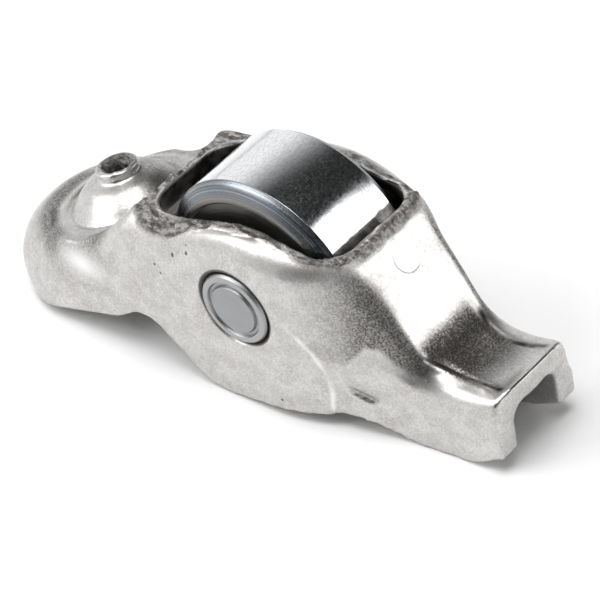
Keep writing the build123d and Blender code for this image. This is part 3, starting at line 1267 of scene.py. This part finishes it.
    def _from_dome(self, points: np.ndarray) -> tuple[np.ndarray, np.ndarray, np.ndarray]:
        """Measures points against the dome's axis.

        Args:
            points: The shell's points.

        Returns:
            Distance from the axis, height above the dome's foot, and the way out from the axis.
        """
        lean = math.radians(self.dome_lean)
        axis = np.array([-math.sin(lean), 0.0, math.cos(lean)])
        arm = points - np.array(self.dome_foot)
        along = arm @ axis
        away = arm - along[:, None] * axis
        return np.linalg.norm(away, axis=1), along, away

    def _fill_neck(self, points: np.ndarray) -> np.ndarray:
        """Thickens the cone below the dome's lip.

        Args:
            points: The shell's points.

        Returns:
            The points, moved away from the dome's axis.
        """
        out, along, away = self._from_dome(points)
        more = self.neck_fill * hill(out, self.neck_radius, self.neck_width) * self.neck.share(out, along)
        return points + away * (more / np.maximum(out, 0.01))[:, None]

    def _torn(self, points: np.ndarray, normals: np.ndarray) -> np.ndarray:
        """Finds the sheared face round the window and the rough countersink of the oil hole.

        Args:
            points: The shell's points.
            normals: The shell's normals.

        Returns:
            1 on rough steel and 0 off it.
        """
        x, y, z = points.T
        ragged = layered_noise(points, self.ragged_layers)
        nose_end, valve_end = self.torn_corners
        reach = self.torn_reach + self.torn_more * np.maximum(rise(x, *nose_end), rise(x, *valve_end))
        edge = self._window(x, y)
        band = rise(edge + ragged - reach, 0.3, -0.3) * rise(edge, 0.02, 0.22)
        band = band * rise(z - self._rim_height(x), -1.1, -0.6) * rise(normals[:, 2], 0.35, 0.7)
        out, along, _ = self._from_dome(points)
        return np.maximum(0.85 * self.countersink.share(out, along), band)

    def _creases(self, points: np.ndarray) -> np.ndarray:
        """Adds up the creases that the press left.

        Args:
            points: The shell's points.

        Returns:
            Move along the normal, in millimetres.
        """
        x, y, z = points.T
        wall = (self.wall_crease.move(x, z) + self.wall_fold.move(x, z)) * rise(-y, *self.near_wall)
        pad = self.pad_crease.move(x, -np.abs(y)) * rise(z, *self.web_top) * np.where(y > 0, 0.25, 1.0)
        return wall + pad + self._foot(points)

    def _foot(self, points: np.ndarray) -> np.ndarray:
        """Crease and soft rings round the foot of the dome.

        Args:
            points: The shell's points.

        Returns:
            Move along the normal, in millimetres.
        """
        out, along, _ = self._from_dome(points)
        beyond = out - self.foot_radius
        middle, width, height = self.brim
        total = height * hill(beyond, middle, width) * rise(-points[:, 1], 1.5, 3.5)
        for middle, width, height in self.foot_hills:
            total = total + height * hill(beyond, middle, width)
        return total * self.foot.share(out, along)

    def _shade(self, points: np.ndarray, normals: np.ndarray) -> np.ndarray:
        """Finds the painted shade: on the flanks beside the slope, in the valley, on the far slope, beside
        the wall's fold and on the nose.

        Args:
            points: The shell's points.
            normals: The shell's normals.

        Returns:
            Share of shade at each point.
        """
        x, y, z = points.T
        off, _ = along_line(x, z, self.flank_line)
        length = 0.45 * rise(x, 5.4, 8.6) + 0.55 * rise(x, 8.2, 10.6)
        sideways = rise(np.abs(normals[:, 1]), 0.14, 0.4) * rise(normals[:, 0], 0.9, 0.78)
        flank = rise(off, -0.15, 0.3) * length * sideways * self.shaded_flank.share(points)
        hollow = 1.3 * self.shaded_valley.share(points) * rise(np.abs(y + 0.3), 3.1, 2.5)
        far = 0.5 * self.far_slope.share(points) * rise(y, 2.2, 4.2)
        off, share = along_line(x, z, self.wall_fold.line)
        fold = within(off, ((-0.12, 0.08), (1.6, 0.1))) * within(share, ((0.0, 0.35), (1.0, 0.9)))
        fold = 0.55 * fold * rise(-y, *self.near_wall)
        return np.maximum.reduce([flank, hollow, far, fold, self._nose_shade(points)])

    def _gleam(self, points: np.ndarray) -> np.ndarray:
        """Distance from the middle of the painted highlight on the nose, where 1 is the spot's own half size.
        """
        side_view = points[:, (0, 2)]
        return np.linalg.norm((side_view - self.gleam_middle) / self.gleam_half, axis=1)

    def _nose_shade(self, points: np.ndarray) -> np.ndarray:
        """Finds the painted shade on the shelf round the dome, on the dome's inner side and in a halo round
        the painted highlight.

        Args:
            points: The shell's points.

        Returns:
            Share of shade at each point.
        """
        x, y, _ = points.T
        out, along, _ = self._from_dome(points)
        inward = x - self.dome_foot[0] + 0.35 * y
        patch = rise(smooth_noise(points, 0.35, 11), -0.5, 0.35)
        shelf = self.shelf.share(out, along) * self.nose_top.share(points)
        inner = self.inner_side.share(out, along) * rise(inward, -0.2, 1.8)
        halo = 0.5 * hill(self._gleam(points), 1.9, 0.5) * rise(-y, 4.4, 5.4) * rise(x, -12.0, -13.5)
        parts = [shelf * (0.5 + 0.45 * patch), halo * (0.35 + 0.65 * patch), inner * (0.5 + 0.3 * patch)]
        return np.maximum.reduce(parts)

    def _painted_highlight(self, points: np.ndarray) -> np.ndarray:
        """Finds the painted highlights: along the window's edge, on the wall's crease and a spot on the nose.

        Args:
            points: The shell's points.

        Returns:
            Share of painted highlight at each point.
        """
        x, y, z = points.T
        edge = np.abs(self._window(x, y) - 0.18)
        rim = 0.8 * rise(edge, 0.2, 0.05) * rise(np.abs(z - self._rim_height(x) + 0.1), 0.5, 0.25)
        rim = rim * rise(smooth_noise(points, 0.6, 12), -0.35, 0.25)
        off, share = along_line(x, z, self.wall_crease.line)
        wall = rise(np.abs(off), 0.3, 0.02) * rise(share, 0.02, 0.3) * rise(-y, *self.near_wall)
        wall = wall * (0.25 + 0.45 * rise(smooth_noise(points, 1.2, 13), -0.4, 0.5))
        spot = 0.9 * hill(self._gleam(points), 0.0, 1.0) * rise(-y, 5.0, 6.0)
        return np.maximum.reduce([rim, wall, spot])

    def _crevice_shade(self, points: np.ndarray, normals: np.ndarray) -> np.ndarray:
        """Finds the painted shade: inside the window, in the oil hole, along the pad's crease and along the
        end's edge.

        Args:
            points: The shell's points.
            normals: The shell's normals.

        Returns:
            Share of grime at each point.
        """
        x, y, z = points.T
        ahead, _, upward = normals.T
        inside = rise(self._window(x, y), 0.75, 0.4) * rise(z - self._rim_height(x), 0.05, -0.3)
        inside = 1.2 * inside * self.bay.share(points) * rise(upward, 0.6, 0.3)
        out, along, _ = self._from_dome(points)
        hole = (0.2 + 0.7 * rise(out, 1.15, 0.85)) * self.oil_hole.share(out, along)
        off, share = along_line(x, -np.abs(y), self.pad_crease.line)
        pad = 1.05 * rise(np.abs(off), 0.34, 0.1) * rise(z, *self.web_top) * rise(share, 0.02, 0.15)
        end = 1.2 * self.end_edge.share(points) * within(ahead, ((0.02, 0.2), (0.92, 0.8)))
        end = end * rise(upward, 0.2, 0.4)
        return np.maximum.reduce([inside, hole, pad, end])

    @staticmethod
    def _write(mesh: bpy.types.Mesh, name: str, values: np.ndarray) -> None:
        """Stores a mask on the mesh.

        Args:
            mesh: The mesh.
            name: Name that the finish reads.
            values: One value for each vertex.
        """
        layer = mesh.attributes.new(name, "FLOAT", "POINT")
        layer.data.foreach_set("value", values.astype(np.float32))


@dataclass
class Axle(Piece):
    """The pin through both side walls, with a ring punched into each end."""

    node: str = "axle"
    body: str = "arm"
    slot: str = "axle_steel"
    finish: Finish = field(default_factory=PinSteel)
    radius: float = 3.0
    ring_inner: float = 2.02
    ring_outer: float = 2.38
    ring_depth: float = 0.28
    steps: int = 128

    def build(self) -> bpy.types.Object:
        """Turns the pin on its axis.

        Returns:
            The new piece.
        """
        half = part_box(self.node)[1].y / MM
        end = [
            (0.0, half, 0.0),
            (self.ring_inner - 0.06, half, 0.08),
            (self.ring_inner + 0.05, half - self.ring_depth, 0.05),
            (self.ring_outer - 0.08, half - self.ring_depth, 0.05),
            (self.ring_outer + 0.04, half - 0.02, 0.08),
            (self.radius - 0.16, half - 0.05, 0.12),
            (self.radius, half - 0.3, 0.2),
        ]
        other = [(radius, -along, corner) for radius, along, corner in reversed(end)]
        made = lathe("axle_pin", rounded(end + other), self.steps)
        self.seat(made)
        return made


@dataclass
class Roller(Piece):
    """The ring that runs on the cam."""

    node: str = "roller"
    body: str = "roller"
    slot: str = "roller_steel"
    finish: Finish = field(default_factory=GroundSteel)
    bore: float = 4.34
    land_half: float = 3.3
    side_half: float = 4.2
    shoulder: float = 1.05
    recess_radius: float = 7.0
    recess_depth: float = 0.2
    steps: int = 192

    def build(self) -> bpy.types.Object:
        """Turns the ring on its axis.

        Returns:
            The new piece.
        """
        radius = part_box(self.node)[1].x / MM
        edge = radius - self.shoulder
        inner = self.side_half - self.recess_depth
        half = [
            (radius, self.land_half, 0.08),
            (radius - 0.32, self.land_half + 0.42, 0.25),
            (edge + 0.1, self.side_half - 0.1, 0.3),
            (edge - 0.12, self.side_half, 0.1),
            (self.recess_radius + self.recess_depth, self.side_half, 0.08),
            (self.recess_radius, inner, 0.08),
            (self.bore + 0.3, inner, 0.05),
            (self.bore, inner - 0.3, 0.05),
        ]
        other = [(out, -along, corner) for out, along, corner in reversed(half)]
        made = lathe("roller_ring", rounded(half + other), self.steps)
        self.seat(made)
        return made


@dataclass
class NeedleSet:
    """The needles between axle and roller, which keep their solids."""

    solids: dict[str, bpy.types.Object]
    prefix: str = "needle_"
    finish: Finish = field(default_factory=NeedleSteel)

    def dress(self) -> int:
        """Gives every needle the same finish.

        Returns:
            How many needles were dressed.
        """
        polish = self.finish.material()
        needles = [item for name, item in self.solids.items() if name.startswith(self.prefix)]
        for item in needles:
            item.data.materials.clear()
            item.data.materials.append(polish)
            item.data.shade_smooth()
        return len(needles)


# ------------------------------------------------------------------ studio


class Panel(Enum):
    """Soft light panels: place, width and height in metres, watts, and the one body lit."""

    KICKER = ((0.33, 0.26, 0.30), 0.16, 0.20, 0.22, "roller_ring")
    FRONT_LEFT = ((-0.33, -0.30, 0.40), 0.42, 0.32, 1.8, "")
    ABOVE = ((0.02, -0.04, 0.62), 0.42, 0.40, 3.3, "")


@dataclass(frozen=True)
class Wall:
    """A pale wall: the way to it, how squarely it is faced, how steeply upward it ends, and its glow."""

    way: Pair
    faced: Pair
    top: Pair
    glow: float


@dataclass
class Studio:
    """Floor, lights, surroundings and camera."""

    eye: Point = (0.165036, -0.161551, 0.185309)
    aim: Point = (0.003576, -0.003999, 0.0)
    roll: float = 10.537
    lens: float = 243.5
    floor_half: float = 3.0
    room: float = 0.02
    walls: tuple[Wall, ...] = (
        Wall(way=(-1.0, 0.0), faced=(0.0, 0.45), top=(0.88, 0.36), glow=1.05),
        Wall(way=(0.82, 0.57), faced=(0.74, 0.93), top=(0.46, 0.36), glow=3.2),
        Wall(way=(1.0, 0.0), faced=(0.5, 0.95), top=(0.45, 0.3), glow=0.7),
    )
    floor_finish: Finish = field(default_factory=PaleFloor)

    def floor(self, height: float) -> bpy.types.Object:
        """Lays the floor.

        Args:
            height: Its level in metres.

        Returns:
            The floor object.
        """
        half = self.floor_half
        mesh = bpy.data.meshes.new("floor")
        corners = [(-half, -half, height), (half, -half, height), (half, half, height), (-half, half, height)]
        mesh.from_pydata(corners, [], [(0, 1, 2, 3)])
        made = bpy.data.objects.new("floor", mesh)
        bpy.context.scene.collection.objects.link(made)
        made.data.materials.append(self.floor_finish.material())
        made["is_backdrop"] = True
        return made

    def lights(self) -> None:
        """Hangs the panels and sets the surroundings."""
        for panel in Panel:
            place, width, height, watts, only = panel.value
            lamp = bpy.data.lights.new(panel.name.lower(), "AREA")
            lamp.shape, lamp.size, lamp.size_y, lamp.energy = "RECTANGLE", width, height, watts
            made = bpy.data.objects.new(panel.name.lower(), lamp)
            made.location = place
            made.rotation_mode = "QUATERNION"
            made.rotation_quaternion = (-Vector(place)).to_track_quat("-Z", "Y")
            bpy.context.scene.collection.objects.link(made)
            if only:
                chosen = bpy.data.collections.new(only + "_light")
                chosen.objects.link(bpy.data.objects[only])
                made.light_linking.receiver_collection = chosen
        self._sky()

    def _sky(self) -> None:
        """Paints a dark room with pale walls to the left, back right and right, none behind the camera."""
        world = bpy.data.worlds.new("studio")
        world.use_nodes = True
        bpy.context.scene.world = world
        bench = Bench(world.node_tree)
        spot = bench.wire("ShaderNodeTexCoord", {}, {}, "Generated")
        split = bench.node("ShaderNodeSeparateXYZ", {}, {0: spot})
        x, y, z = (Wire(bench, out) for out in split.outputs)
        tone: Any = 0.0
        for wall in self.walls:
            facing = x * wall.way[0] + y * wall.way[1]
            tone = (facing.step(*wall.faced) * z.step(*wall.top) * wall.glow).most(tone)
        white = (1.0, 1.0, 1.0, 1.0)
        glow = bench.wire("ShaderNodeBackground", {}, {"Color": white, "Strength": tone + self.room})
        bench.node("ShaderNodeOutputWorld", {}, {"Surface": glow})

    def camera(self) -> None:
        """Places the camera and makes it the scene's own."""
        lens = bpy.data.cameras.new("camera")
        lens.lens, lens.sensor_width = self.lens, 36.0
        lens.clip_start, lens.clip_end = 0.01, 20.0
        made = bpy.data.objects.new("camera", lens)
        made.location = self.eye
        made.rotation_mode = "QUATERNION"
        ahead = Vector(self.aim) - Vector(self.eye)
        turn = Quaternion(ahead.normalized(), math.radians(self.roll))
        made.rotation_quaternion = turn @ ahead.to_track_quat("-Z", "Y")
        bpy.context.scene.collection.objects.link(made)
        bpy.context.scene.camera = made


# ------------------------------------------------------------------ assembly


def main() -> None:
    """Builds and dresses every piece, then the studio."""
    logging.basicConfig(level=logging.INFO, format="%(name)s: %(message)s")
    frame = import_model()
    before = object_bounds()
    solids = frame["nodes"]
    for part in (Pressing(solids=solids), Axle(), Roller()):
        made = part.build()
        part.dress(made)
        LOG.info("%s has %d faces", made.name, len(made.data.polygons))
    LOG.info("dressed %d needles", NeedleSet(solids).dress())
    studio = Studio()
    studio.floor(before[0].z)
    studio.lights()
    studio.camera()
    bpy.context.scene.view_settings.view_transform = "Standard"


if __name__ == "__main__":
    main()
